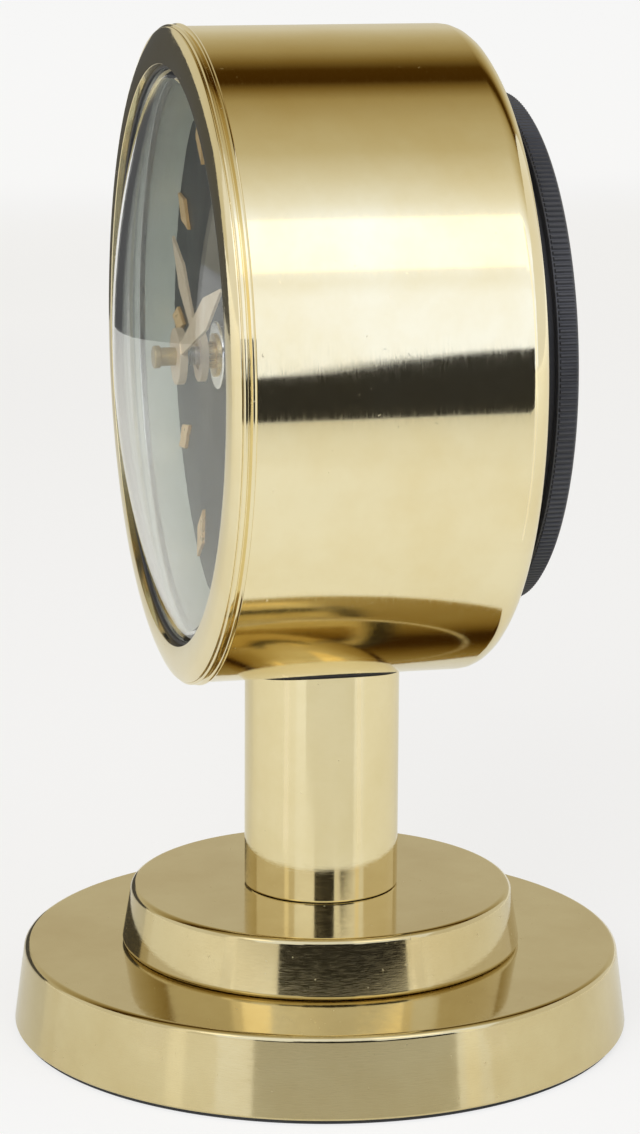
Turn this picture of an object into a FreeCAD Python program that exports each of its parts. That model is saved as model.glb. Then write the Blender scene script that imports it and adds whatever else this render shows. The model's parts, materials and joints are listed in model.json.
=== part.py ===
import FreeCAD, Part
import math
import os

Vector = FreeCAD.Vector

# Pedestal desk clock with a date window. Millimetres, +Z up, the dial faces -Y.
# The origin is the centre of the base's underside. Dial positions are (x, z) from the drum's axis.

# Driving sizes of the case
axis_height = 129.5
drum_radius = 60.0
drum_half_depth = 26.3
drum_wall = 1.6
lip_radius = drum_radius - 10.0
rear_round = 4.5
running_fit = 0.06

# Driving sizes of the base and the column
pad_thickness = 0.8
disc_foot_radius = 58.6
disc_draft = 2.0
disc_top_radius = disc_foot_radius - disc_draft
pad_radius = disc_foot_radius - 0.8
disc_top = 15.9
edge_round = 1.3
corner_share = 1 - math.sqrt(0.5)
tier_foot_radius = 38.1
tier_draft = 1.9
tier_top_radius = tier_foot_radius - tier_draft
tier_top = disc_top + 11.3
foot_round = 1.0
column_radius = 14.6
column_bore = 7.0
foot_chamfer = 0.5
gasket_thickness = 0.6
weight_radius = disc_foot_radius - 8.0
weight_top = disc_top - 5.8
washer_top = weight_top - 3.0
washer_bottom = washer_top - 1.0
base_nut_bottom = washer_bottom - 3.8
nut_recess = 11.0
rod_radius = 3.0
rod_hole = 3.3

# Layers of the clock along Y, front to back
seam = -drum_half_depth
bezel_front = seam - 4.0
seal_front = bezel_front + 1.4
lip_back = seal_front + 0.7
glass_seat = lip_back - 0.1
glass_apex = glass_seat - 8.8
glass_back = glass_seat + 2.2
retainer_back = glass_back + 1.3
dial_front = retainer_back + 6.4
dial_back = dial_front + 0.8
date_front = dial_back + 0.4
date_back = date_front + 0.8
calendar_floor = date_back + 0.2
front_plate_face = calendar_floor + 0.8
front_plate_back = front_plate_face + 1.5
hour_layer = (front_plate_back + 0.7, front_plate_back + 1.5)
minute_layer = (hour_layer[1] + 0.6, hour_layer[1] + 1.4)
centre_layer = (minute_layer[1] + 2.0, minute_layer[1] + 2.8)
third_layer = (centre_layer[1] + 2.2, centre_layer[1] + 3.0)
back_plate_face = third_layer[1] + 3.3
back_plate_back = back_plate_face + 1.5
index_layer = (back_plate_back + 1.4, back_plate_back + 2.0)
rim_layer = (index_layer[1] + 4.4, index_layer[1] + 5.8)
spring_layer = (rim_layer[1] + 1.0, rim_layer[1] + 1.6)
cock_layer = (spring_layer[1] + 0.8, spring_layer[1] + 2.4)
rear_floor_back = drum_half_depth - drum_wall
rear_floor_face = rear_floor_back - 2.0
cap_front = drum_half_depth + 4.4
neck_end = cap_front + 1.9
cap_floor = cap_front + 2.5
cap_back = cap_front + 3.9
knob_layer = (rear_floor_back + 0.6, rear_floor_back + 6.3)
arbor_back = knob_layer[1] - 2.0

# Radii on the drum's axis
bezel_radius = drum_radius + 0.53
bezel_bore = drum_radius - 5.0
bezel_lip = drum_radius - 6.8
glass_radius = drum_radius - 7.4
gasket_lip = drum_radius - 7.5
dome_radius = gasket_lip - 0.1
glass_thickness = 1.8
retainer_bore = drum_radius - 9.7
reflector_bore = retainer_bore + 0.1
reflector_wall = 1.0
dial_radius = drum_radius - 8.0
arbor_radius = 1.2
cannon_radius = arbor_radius + 0.5
pipe_bore = cannon_radius + 0.08
pipe_radius = pipe_bore + 0.72
bush_bore = pipe_radius + 0.08
bush_radius = bush_bore + 1.42
plate_radius = drum_radius * 2 / 3
neck_radius = lip_radius - 5.4
neck_wall = 2.0
cap_radius = neck_radius + 2.78
cap_root_radius = cap_radius - 0.43
cap_skirt_bore = neck_radius + 0.4
spring_ring_radius = cap_skirt_bore + 0.4
rib_count = 276
rib_foot = 0.32
rib_top = 0.18

# Hands, at eleven minutes past ten
hour_angle = 305.5
minute_angle = 66.0
hour_hand_length = dial_radius - 20.0
minute_hand_length = dial_radius - 8.5
hour_hub_radius = pipe_radius + 2.3
minute_hub_radius = cannon_radius + 3.5
hour_hub = (dial_front - 5.1, dial_front - 3.9)
minute_hub = (hour_hub[0] - 4.1, hour_hub[0] - 2.7)
blade_thickness = 0.5
nut_front = minute_hub[0] - 3.9
arbor_front = nut_front + 1.0

# Teeth: heights in modules and half-widths in shares of the tooth spacing
tooth_above = 0.75
tooth_below = 1.05
tooth_foot = 0.23
tooth_top = 0.10
cannon_teeth = 12
minute_wheel_teeth = 36
minute_pinion_teeth = 10
hour_teeth = 40
date_drive_teeth = 80
set_teeth = 12
centre_teeth = 60
third_pinion_teeth = 10
third_teeth = 60
index_pinion_teeth = 10
index_teeth = 45
minute_module = plate_radius / 80
hour_module = minute_module * (cannon_teeth + minute_wheel_teeth) / (minute_pinion_teeth + hour_teeth)
train_module = plate_radius / 100

# Calendar
date_count = 31
star_teeth = 8
date_module = plate_radius * 0.06
date_tooth_tip = date_module * (date_count / 2 - 0.417)
date_tooth_root = date_module * (date_count / 2 + 0.583)
star_tip = date_module * (star_teeth / 2 + 0.458)
star_root = date_module * (star_teeth / 2 - 0.542)
date_foot = 0.16
date_top = 0.05
date_ring_radius = date_tooth_root + 7.42
date_wall_radius = date_ring_radius + running_fit
date_dish_radius = date_wall_radius + 1.5
window_inner = date_tooth_root + 1.3
window_outer = date_ring_radius - 0.7
window_half_height = 2.9

# Balance
balance_radius = plate_radius * 0.325
index_tip = plate_radius * 0.19
index_root = index_tip - 0.7
magnet_reach = balance_radius * 0.6
collet_radius = 1.5
spring_step = 0.4
spring_halves = 12
spring_thickness = 0.16
spring_end = 110.0

# Battery, a C cell lying across the case
cell_radius = 12.9
cell_half_length = 24.5
tray_wall = 1.5
tray_front = back_plate_back + 1.3
tray_floor = tray_front + 1.2
tray_half_width = cell_half_length + 2.0
tray_half_height = cell_radius + 0.3
cell_height = -18.0

# Shafts and fasteners
shaft_radius = 1.25
thin_shaft = 0.7
stud_radius = 0.8
staff_radius = 0.6
screw_radius = 1.2
case_screw_radius = 1.5
case_pillar_radius = 2.8
plate_pillar_radius = 2.2


def polar(radius, angle, centre=(0.0, 0.0)):
    """Place on the dial plane, the angle turning from +X towards +Z."""
    turn = math.radians(angle)
    return centre[0] + radius * math.cos(turn), centre[1] + radius * math.sin(turn)


def revolved(profile, centre, along):
    """Body turned about a line from (radius, distance) points.

    A point of four numbers is reached by an arc through its last two.
    """
    def placed(radius, distance):
        return centre + Vector(radius, 0, 0) + along * distance

    edges = []
    here = placed(*profile[-1][:2])
    for point in profile:
        there = placed(*point[:2])
        if len(point) == 4:
            edges.append(Part.Arc(here, placed(*point[2:]), there).toShape())
        else:
            edges.append(Part.makeLine(here, there))
        here = there
    body = Part.Face(Part.Wire(edges)).revolve(centre, along, 360)
    if body.Volume < 0:
        body.reverse()
    return body


def turned(profile):
    """Body turned about the drum's axis."""
    return revolved(profile, Vector(0, 0, axis_height), Vector(0, 1, 0))


def turned_upright(profile):
    """Body turned about the column's axis."""
    return revolved(profile, Vector(0, 0, 0), Vector(0, 0, 1))


def rod(place, radius, front, back):
    """Cylinder along Y."""
    start = Vector(place[0], front, axis_height + place[1])
    return Part.makeCylinder(radius, back - front, start, Vector(0, 1, 0))


def ring(inner, outer, front, back, place=(0.0, 0.0)):
    """Ring along Y."""
    return rod(place, outer, front, back).cut(rod(place, inner, front, back))


def prism(points, front, back):
    """Flat outline on the dial plane, pulled along Y."""
    corners = [Vector(x, front, axis_height + z) for x, z in points]
    face = Part.Face(Part.makePolygon(corners + corners[:1]))
    return face.extrude(Vector(0, back - front, 0))


def block(x_range, y_range, z_range):
    """Box between two limits each way, its height from the drum's axis."""
    corner = Vector(x_range[0], y_range[0], axis_height + z_range[0])
    return Part.makeBox(x_range[1] - x_range[0], y_range[1] - y_range[0], z_range[1] - z_range[0], corner)


def toothed(place, root, tip, teeth, phase, front, back, foot=tooth_foot, top=tooth_top):
    """Disc with straight-sided teeth, or the same shape as a hole when the tip is nearer than the root."""
    spacing = 360.0 / teeth
    points = []
    for tooth in range(teeth):
        middle = phase + tooth * spacing
        points.append(polar(root, middle - foot * spacing, place))
        points.append(polar(tip, middle - top * spacing, place))
        points.append(polar(tip, middle + top * spacing, place))
        points.append(polar(root, middle + foot * spacing, place))
    return prism(points, front, back)


def gear(place, teeth, module, phase, layer):
    """Spur gear of a given module."""
    root = module * (teeth / 2 - tooth_below)
    tip = module * (teeth / 2 + tooth_above)
    return toothed(place, root, tip, teeth, phase, layer[0], layer[1])


def meshed_phase(angle, driver_phase, driver_teeth, teeth):
    """Phase that sets a gap of the next gear on a tooth of its driver, along the line of centres."""
    return angle + 180 - (driver_phase - angle) * driver_teeth / teeth + 180.0 / teeth


def united(shapes):
    """One solid from touching shapes."""
    body = shapes[0]
    for shape in shapes[1:]:
        body = body.fuse(shape)
    return body.removeSplitter()


def bored(body, places, radius, front, back):
    """Body with equal holes along Y."""
    for place in places:
        body = body.cut(rod(place, radius, front, back))
    return body


def rounded(body, radius, wanted):
    """Body with a round on the edges that a test picks."""
    return body.makeFillet(radius, [edge for edge in body.Edges if wanted(edge.BoundBox)])


# Places of the arbors
minute_wheel_place = (0.0, minute_module * (cannon_teeth + minute_wheel_teeth) / 2)
hand_set_place = polar(minute_module * (minute_wheel_teeth + set_teeth) / 2, 45.0, minute_wheel_place)
date_drive_place = (0.0, -hour_module * (hour_teeth + date_drive_teeth) / 2)
date_set_place = polar(date_module * (date_count - star_teeth) / 2, 135.0)
train_distance = train_module * (centre_teeth + third_pinion_teeth) / 2
third_place = polar(train_distance, -25.0)
index_place = polar(train_distance, 80.0, third_place)
balance_place = polar(index_tip + 2.8, 30.0, index_place)
cock_place = polar(balance_radius + 3.5, spring_end, balance_place)
coil_place = polar(magnet_reach, -45.0, balance_place)

# Phases of the gears, each from the one that drives it
cannon_phase = 90.0
minute_wheel_phase = meshed_phase(90.0, cannon_phase, cannon_teeth, minute_wheel_teeth)
minute_pinion_phase = 90.0
hour_phase = meshed_phase(-90.0, minute_pinion_phase, minute_pinion_teeth, hour_teeth)
date_drive_phase = meshed_phase(-90.0, hour_phase, hour_teeth, date_drive_teeth)
set_phase = meshed_phase(45.0, minute_wheel_phase, minute_wheel_teeth, set_teeth)
centre_phase = 0.0
third_pinion_phase = meshed_phase(-25.0, centre_phase, centre_teeth, third_pinion_teeth)
third_phase = 0.0
index_pinion_phase = meshed_phase(80.0, third_phase, third_teeth, index_pinion_teeth)
date_spacing = 360.0 / date_count
date_phase = date_spacing / 2
star_gap = 135.0 + (date_phase + 11 * date_spacing - 135.0) * date_count / star_teeth
star_phase = star_gap + 180.0 / star_teeth

# Places of the pillars and screws
pillar_places = [polar(plate_radius - 5.0, angle) for angle in (-25.0, 75.0, 125.0, 205.0)]
case_pillar_places = [polar(neck_radius - neck_wall - 5.5, angle) for angle in (-3.0, 90.0, 183.0)]


# Base and column
def foot_pad():
    return Part.makeCylinder(pad_radius, pad_thickness)


def base_disc():
    body = turned_upright([
        (rod_hole, weight_top), (weight_radius, weight_top), (weight_radius, pad_thickness),
        (disc_foot_radius, pad_thickness), (disc_top_radius, disc_top), (rod_hole, disc_top)])
    outer_top = disc_top_radius - 1
    return rounded(body, edge_round, lambda box: box.ZMin > disc_top - 0.01 and box.XMax > outer_top)


def base_weight():
    return turned_upright([
        (rod_hole, washer_top), (nut_recess, washer_top), (nut_recess, pad_thickness),
        (weight_radius, pad_thickness),
        (weight_radius, weight_top), (rod_hole, weight_top)])


def base_tier():
    """Turned tier with a rounded foot, tapered sides and a rounded shoulder."""
    foot_turn = foot_round * corner_share
    shoulder_turn = edge_round * corner_share
    return turned_upright([
        (rod_hole, disc_top), (tier_foot_radius - foot_round, disc_top),
        (tier_foot_radius, disc_top + foot_round, tier_foot_radius - foot_turn, disc_top + foot_turn),
        (tier_top_radius, tier_top - edge_round),
        (tier_top_radius - edge_round, tier_top, tier_top_radius - shoulder_turn, tier_top - shoulder_turn),
        (rod_hole, tier_top)])


def hexagon(across_flats, bottom, top):
    """Hexagonal nut on the tie rod."""
    radius = across_flats / math.sqrt(3)
    corners = [Vector(radius * math.cos(math.radians(60 * side)), radius * math.sin(math.radians(60 * side)),
                      bottom) for side in range(6)]
    body = Part.Face(Part.makePolygon(corners + corners[:1])).extrude(Vector(0, 0, top - bottom))
    return body.cut(Part.makeCylinder(rod_radius, top - bottom, Vector(0, 0, bottom)))


def upright_ring(inner, outer, bottom, top):
    """Ring about the column's axis."""
    body = Part.makeCylinder(outer, top - bottom, Vector(0, 0, bottom))
    return body.cut(Part.makeCylinder(inner, top - bottom, Vector(0, 0, bottom)))


def under_drum(radius):
    """Long cylinder on the drum's axis."""
    return rod((0.0, 0.0), radius, -drum_half_depth, drum_half_depth)


def column():
    tall = upright_ring(column_bore, column_radius, tier_top, axis_height - drum_radius + 5)
    body = tall.cut(under_drum(drum_radius + gasket_thickness))
    return body.makeChamfer(foot_chamfer, [edge for edge in body.Edges
                                           if edge.BoundBox.ZMax < tier_top + 0.01
                                           and edge.BoundBox.XMax > column_bore + 1])


def saddle_gasket():
    tall = upright_ring(column_bore, column_radius - 0.4, tier_top, axis_height - drum_radius + 5)
    return tall.common(under_drum(drum_radius + gasket_thickness)).cut(under_drum(drum_radius))


saddle_top = axis_height - drum_radius + drum_wall + 3.6
nut_top = saddle_top + 4.4


def drum_saddle():
    body = block((-13.0, 13.0), (-10.0, 10.0), (-drum_radius, saddle_top - axis_height))
    body = body.common(under_drum(drum_radius - drum_wall))
    return body.cut(Part.makeCylinder(rod_hole, axis_height))


def tie_rod():
    foot = base_nut_bottom - 0.2
    return Part.makeCylinder(rod_radius, nut_top + 1.0 - foot, Vector(0, 0, foot))


# Case
def case_drum():
    """Tube with a rounded rear edge turned in to a lip."""
    inner = drum_radius - drum_wall
    round_start = drum_half_depth - rear_round
    round_centre = drum_radius - rear_round
    outer_turn = rear_round * (1 - corner_share)
    inner_turn = (rear_round - drum_wall) * (1 - corner_share)
    shell = turned([
        (inner, seam), (drum_radius, seam), (drum_radius, round_start),
        (round_centre, drum_half_depth, round_centre + outer_turn, round_start + outer_turn),
        (lip_radius, drum_half_depth), (lip_radius, rear_floor_back), (round_centre, rear_floor_back),
        (inner, round_start, round_centre + inner_turn, round_start + inner_turn)])
    return shell.cut(Part.makeCylinder(rod_hole, axis_height))


def bezel():
    """Turned ring: a wide front roll, two narrow beads and a spigot inside the drum."""
    spigot = drum_radius - drum_wall
    spigot_end = seam + 6.0
    roll_lip = bezel_front + 0.15
    return turned([
        (bezel_bore, lip_back), (bezel_lip, lip_back), (bezel_lip, roll_lip),
        (drum_radius + 0.2, bezel_front + 1.6, bezel_lip + 2.8, roll_lip),
        (drum_radius - 0.2, bezel_front + 1.75), (drum_radius + 0.35, bezel_front + 1.95),
        (drum_radius + 0.35, bezel_front + 2.5), (drum_radius - 0.3, bezel_front + 2.8),
        (drum_radius + 0.45, bezel_front + 3.3), (bezel_radius, bezel_front + 3.6),
        (drum_radius + 0.4, seam), (spigot, seam), (spigot, spigot_end), (bezel_bore, spigot_end)])


def glass_sphere():
    """Radius of the glass's outer face, from its rise over the dome."""
    rise = glass_seat - glass_apex
    return (dome_radius ** 2 + rise ** 2) / (2 * rise)


def dome(radius, apex, place):
    """Distance along Y of a ball's face at a radius from the axis."""
    return apex + radius - math.sqrt(radius ** 2 - place ** 2)


def glass():
    outer = glass_sphere()
    inner = outer - glass_thickness
    inner_apex = glass_apex + glass_thickness
    middle = dome_radius / 2
    return turned([
        (dome_radius, glass_seat, middle, dome(outer, glass_apex, middle)),
        (glass_radius, glass_seat), (glass_radius, glass_back), (retainer_bore, glass_back),
        (retainer_bore, dome(inner, inner_apex, retainer_bore)),
        (0.0, inner_apex, middle, dome(inner, inner_apex, middle)),
        (0.0, glass_apex)])


def glass_gasket():
    return turned([
        (gasket_lip, seal_front), (bezel_lip, seal_front), (bezel_lip, lip_back),
        (bezel_bore, lip_back), (bezel_bore, glass_back), (glass_radius, glass_back),
        (glass_radius, glass_seat), (gasket_lip, glass_seat)])


def reflector_ring():
    flange = bezel_bore - 1.0
    flange_back = retainer_back + 0.6
    outer = reflector_bore + reflector_wall
    return turned([
        (reflector_bore, retainer_back), (flange, retainer_back), (flange, flange_back), (outer, flange_back),
        (outer, dial_front), (reflector_bore, dial_front)])


def rear_plate():
    body = turned([
        (0.0, rear_floor_face), (drum_radius - rear_round - 0.1, rear_floor_face),
        (drum_radius - rear_round - 0.1, rear_floor_back), (lip_radius, rear_floor_back),
        (lip_radius, drum_half_depth - 0.2), (neck_radius, drum_half_depth - 0.2), (neck_radius, neck_end),
        (neck_radius - neck_wall, neck_end), (neck_radius - neck_wall, rear_floor_back),
        (0.0, rear_floor_back)])
    body = body.cut(block((-tray_half_width, tray_half_width), (rear_floor_face, rear_floor_back),
                          (cell_height - tray_half_height, cell_height + tray_half_height)))
    body = bored(body, (hand_set_place, date_set_place), shaft_radius + running_fit, rear_floor_face,
                 rear_floor_back)
    return bored(body, case_pillar_places, case_screw_radius, rear_floor_face, rear_floor_back)


def rear_cap():
    """Cap with a straight-ribbed edge and a groove inside for its spring ring."""
    ribs = toothed((0.0, 0.0), cap_root_radius, cap_radius, rib_count, 0.0, cap_front + 0.3, cap_back - 0.3,
                   rib_foot, rib_top)
    body = ribs.fuse(rod((0.0, 0.0), cap_root_radius - 0.05, cap_front, cap_back))
    body = body.cut(rod((0.0, 0.0), cap_skirt_bore, cap_front, cap_floor))
    return body.cut(rod((0.0, 0.0), spring_ring_radius + running_fit, cap_front + 0.6, cap_front + 1.8))


def pillar_body(place):
    """Pillar from the back plate to the rear plate, bored for its screw."""
    body = rod(place, case_pillar_radius, back_plate_back, rear_floor_face)
    body = body.fuse(rod(place, screw_radius, back_plate_face, back_plate_back))
    return body.cut(rod(place, case_screw_radius, rear_floor_face - 6.0, rear_floor_face)).removeSplitter()


def screw(place, head_radius, head_front, head_back, shaft, shaft_front):
    """Cheese-head screw seen from behind, with a driver slot."""
    body = rod(place, head_radius, head_front, head_back).fuse(rod(place, shaft, shaft_front, head_front))
    slot = block((place[0] - head_radius, place[0] + head_radius), (head_back - 0.5, head_back),
                 (place[1] - 0.3, place[1] + 0.3))
    return body.cut(slot).removeSplitter()


# Dial side
def dial():
    body = rod((0.0, 0.0), dial_radius, dial_front, dial_back).cut(
        rod((0.0, 0.0), bush_radius, dial_front, dial_back))
    return body.cut(block((window_inner, window_outer), (dial_front, dial_back),
                          (-window_half_height, window_half_height)))


def hour_markers():
    """Applied lozenges at every hour but three, where the date shows."""
    near = dial_radius - 14.0
    widest = dial_radius - 7.5
    far = dial_radius - 2.0
    half_width = 2.5
    marks = []
    for hour in range(12):
        angle = 90.0 - 30.0 * hour
        if hour != 3:
            outline = [polar(near, angle), polar(half_width, angle + 90, polar(widest, angle)),
                       polar(far, angle), polar(half_width, angle - 90, polar(widest, angle))]
            marks.append(prism(outline, dial_front - 0.6, dial_front))
    return marks


def date_window_frame():
    outer = block((window_inner - 1.0, window_outer + 1.0), (dial_front - 0.8, dial_front),
                  (-window_half_height - 1.0, window_half_height + 1.0))
    return outer.cut(block((window_inner, window_outer), (dial_front - 0.8, dial_front),
                           (-window_half_height, window_half_height)))


def pointer(angle, length, half_width, hub, hub_radius, bore):
    """Dagger-shaped hand with a round hub; the angle is clockwise from twelve."""
    direction = 90.0 - angle

    def placed(along, across):
        return polar(across, direction + 90, polar(along, direction))

    blade = prism([placed(hub_radius - 1.0, 1.0), placed(length * 0.66, half_width), placed(length, 0.25),
                   placed(length, -0.25), placed(length * 0.66, -half_width), placed(hub_radius - 1.0, -1.0)],
                  hub[0] + 0.2, hub[0] + 0.2 + blade_thickness)
    body = rod((0.0, 0.0), hub_radius, hub[0], hub[1]).fuse(blade)
    return body.cut(rod((0.0, 0.0), bore, hub[0], hub[1])).removeSplitter()


def hand_nut():
    """Small round nut on a collar, closed over the end of the arbor."""
    disc_back = nut_front + 1.2
    body = rod((0.0, 0.0), arbor_radius + 0.9, nut_front, disc_back)
    body = body.fuse(rod((0.0, 0.0), arbor_radius + 0.5, disc_back, minute_hub[0]))
    return body.cut(rod((0.0, 0.0), arbor_radius, arbor_front, minute_hub[0])).removeSplitter()


# Calendar
def calendar_plate():
    body = turned([
        (bush_radius, calendar_floor), (date_wall_radius, calendar_floor), (date_wall_radius, dial_back),
        (date_dish_radius, dial_back), (date_dish_radius, front_plate_face), (bush_radius, front_plate_face)])
    body = bored(body, [date_drive_place], stud_radius + 0.1, calendar_floor, front_plate_face)
    return bored(body, [date_set_place], shaft_radius + running_fit, calendar_floor, front_plate_face)


def date_ring():
    hole = toothed((0.0, 0.0), date_tooth_root, date_tooth_tip, date_count, date_phase, date_front, date_back,
                   date_foot, date_top)
    return rod((0.0, 0.0), date_ring_radius, date_front, date_back).cut(hole)


def date_jumper():
    """Spring leaf with a nose that rests between two teeth of the date ring."""
    foot_place = (date_tooth_tip - 11.2, -14.0)
    foot = rod(foot_place, 1.6, date_front, calendar_floor)
    leaf = prism([(foot_place[0] - 0.6, foot_place[1] + 0.4), (date_tooth_root - 3.6, -1.6),
                  (date_tooth_root - 1.0, 0.0), (date_tooth_root - 4.0, 0.6),
                  (foot_place[0] - 1.4, foot_place[1] + 1.0)], date_front + 0.1, date_back - 0.1)
    return foot.fuse(leaf).removeSplitter()


def date_drive_wheel():
    wheel_radius = hour_module * date_drive_teeth / 2
    body = gear(date_drive_place, date_drive_teeth, hour_module, date_drive_phase, hour_layer)
    holes = [polar(wheel_radius * 0.57, 45 + 90 * side, date_drive_place) for side in range(4)]
    body = bored(body, holes, wheel_radius * 0.23, *hour_layer)
    return body.fuse(rod(date_drive_place, stud_radius, date_front, back_plate_back)).removeSplitter()


def date_finger():
    """Thin spring finger that pushes the date ring once a day, where it stands mid-morning."""
    angle = -90.0 + 152.8
    reach = date_tooth_tip + 1.2 + date_drive_place[1]
    hub = ring(stud_radius, 2.0, date_front + 0.1, date_back - 0.1, date_drive_place)
    start = polar(1.6, angle, date_drive_place)
    end = polar(reach, angle, date_drive_place)
    sides = [polar(0.2, angle - 90, start), polar(0.2, angle - 90, end), polar(0.2, angle + 90, end),
             polar(0.2, angle + 90, start)]
    return hub.fuse(prism(sides, date_front + 0.1, date_back - 0.1)).removeSplitter()


def date_set_arbor():
    star = toothed(date_set_place, star_root, star_tip, star_teeth, star_phase, date_front, date_back,
                   date_foot, date_top)
    return star.fuse(rod(date_set_place, shaft_radius, date_front, arbor_back)).removeSplitter()


def setting_knob(place, radius):
    """Knurled knob on the rear end of an arbor."""
    body = toothed(place, radius - 0.35, radius, 40, 0.0, *knob_layer, rib_foot, rib_top)
    return body.cut(rod(place, shaft_radius, knob_layer[0], arbor_back))


# Movement
def movement_plate(front, back, holes):
    body = rod((0.0, 0.0), plate_radius, front, back)
    for place, radius in holes:
        body = body.cut(rod(place, radius, front, back))
    return body


def front_plate():
    holes = [((0.0, 0.0), bush_radius), (minute_wheel_place, stud_radius),
             (hand_set_place, shaft_radius + running_fit), (date_drive_place, stud_radius + running_fit),
             (date_set_place, shaft_radius + running_fit), (third_place, thin_shaft + running_fit),
             (index_place, thin_shaft + running_fit)]
    return movement_plate(front_plate_face, front_plate_back, holes)


def back_plate():
    holes = [((0.0, 0.0), arbor_radius + running_fit), (hand_set_place, shaft_radius + running_fit),
             (date_drive_place, stud_radius + running_fit), (date_set_place, shaft_radius + running_fit),
             (third_place, thin_shaft + running_fit), (index_place, thin_shaft + running_fit),
             (balance_place, staff_radius + running_fit), (cock_place, screw_radius)]
    holes += [(place, screw_radius) for place in pillar_places + case_pillar_places]
    return movement_plate(back_plate_face, back_plate_back, holes)


def centre_bush():
    bush_front = dial_front - 2.2
    flange_back = front_plate_back + 0.4
    return turned([
        (bush_bore, bush_front), (bush_radius, bush_front), (bush_radius, front_plate_back),
        (bush_radius + 1.5, front_plate_back), (bush_radius + 1.5, flange_back), (bush_bore, flange_back)])


def plate_pillars():
    hole_depth = 4.0
    return [rod(place, plate_pillar_radius, front_plate_back, back_plate_face).cut(
        rod(place, screw_radius, back_plate_face - hole_depth, back_plate_face)) for place in pillar_places]


def lightened(wheel, place, layer):
    """Train wheel with four round holes."""
    holes = [polar(train_module * 17.5, 45 + 90 * side, place) for side in range(4)]
    return bored(wheel, holes, train_module * 6.5, *layer)


def centre_arbor():
    wheel = gear((0.0, 0.0), centre_teeth, train_module, centre_phase, centre_layer)
    wheel = lightened(wheel, (0.0, 0.0), centre_layer)
    return wheel.fuse(rod((0.0, 0.0), arbor_radius, arbor_front, back_plate_back)).removeSplitter()


def cannon_pinion():
    pinion = gear((0.0, 0.0), cannon_teeth, minute_module, cannon_phase, minute_layer)
    body = pinion.fuse(rod((0.0, 0.0), cannon_radius, minute_hub[0] + 0.2, minute_layer[1]))
    return body.cut(rod((0.0, 0.0), arbor_radius, minute_hub[0] + 0.2, minute_layer[1])).removeSplitter()


def hour_wheel():
    wheel = gear((0.0, 0.0), hour_teeth, hour_module, hour_phase, hour_layer)
    body = wheel.fuse(rod((0.0, 0.0), pipe_radius, hour_hub[0] + 0.2, hour_layer[1]))
    return body.cut(rod((0.0, 0.0), pipe_bore, hour_hub[0] + 0.2, hour_layer[1])).removeSplitter()


def minute_wheel():
    wheel = gear(minute_wheel_place, minute_wheel_teeth, minute_module, minute_wheel_phase, minute_layer)
    pinion = gear(minute_wheel_place, minute_pinion_teeth, hour_module, minute_pinion_phase,
                  (hour_layer[0], minute_layer[0]))
    body = wheel.fuse(pinion).removeSplitter()
    return body.cut(rod(minute_wheel_place, stud_radius + running_fit, hour_layer[0], minute_layer[1]))


def minute_stud():
    """Stud with a flat head that keeps the minute wheel on."""
    head = (minute_layer[1] + 0.3, minute_layer[1] + 0.9)
    stud = rod(minute_wheel_place, stud_radius, front_plate_face, head[1])
    return stud.fuse(rod(minute_wheel_place, stud_radius * 2, *head)).removeSplitter()


def hand_set_arbor():
    pinion = gear(hand_set_place, set_teeth, minute_module, set_phase, minute_layer)
    return pinion.fuse(rod(hand_set_place, shaft_radius, front_plate_face, arbor_back)).removeSplitter()


def third_wheel():
    pinion = gear(third_place, third_pinion_teeth, train_module, third_pinion_phase,
                  (centre_layer[0] - 0.3, centre_layer[1] + 0.3))
    wheel = gear(third_place, third_teeth, train_module, third_phase, third_layer)
    arbor = rod(third_place, thin_shaft, front_plate_face, back_plate_back)
    return united([arbor, pinion, lightened(wheel, third_place, third_layer)])


def index_wheel():
    pinion = gear(index_place, index_pinion_teeth, train_module, index_pinion_phase,
                  (third_layer[0] - 0.3, third_layer[1] + 0.3))
    wheel = toothed(index_place, index_root, index_tip, index_teeth, 0.0, *index_layer, 0.2, 0.04)
    arbor = rod(index_place, thin_shaft, front_plate_face, index_layer[1] + 0.6)
    return united([arbor, pinion, wheel])


# Balance
def balance_wheel():
    """Rim and bar with the staff, the roller that meets the index wheel, and the spring's collet."""
    rim = ring(balance_radius - 1.4, balance_radius, *rim_layer, balance_place)
    reach = balance_radius - 1.0
    across = 2.8
    corners = ((-reach, -across), (reach, -across), (reach, across), (-reach, across))
    bar = prism([polar(along, -45.0, polar(side, 45.0, balance_place)) for along, side in corners], *rim_layer)
    staff = rod(balance_place, staff_radius, back_plate_face, cock_layer[0] + 1.0)
    roller = rod(balance_place, 1.6, *index_layer)
    collet = rod(balance_place, collet_radius, rim_layer[1], spring_layer[1])
    return united([rim, bar, staff, roller, collet])


def balance_magnets():
    return [rod(polar(side * magnet_reach, -45.0, balance_place), 2.5, rim_layer[0] - 1.2, rim_layer[0])
            for side in (-1, 1)]


def hairspring():
    """Flat spiral of half circles, from the collet to the stud of the cock."""
    def corner(half, offset):
        angle = spring_end + 180.0 * (half - spring_halves)
        place = polar(collet_radius + spring_step * half + offset, angle, balance_place)
        return Vector(place[0], spring_layer[0], axis_height + place[1])

    def flank(offset):
        edges = []
        for half in range(spring_halves):
            start, end = corner(half, offset), corner(half + 1, offset)
            top = polar((end - start).Length / 2, spring_end + 180.0 * (half - spring_halves) + 90.0)
            middle = (start + end) * 0.5 + Vector(top[0], 0, top[1])
            edges.append(Part.Arc(start, middle, end).toShape())
        return edges

    edges = flank(0.0) + flank(spring_thickness)
    for half in (0, spring_halves):
        edges.append(Part.makeLine(corner(half, 0.0), corner(half, spring_thickness)))
    wire = Part.Wire(Part.__sortEdges__(edges))
    return Part.Face(wire).extrude(Vector(0, spring_layer[1] - spring_layer[0], 0))


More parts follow.
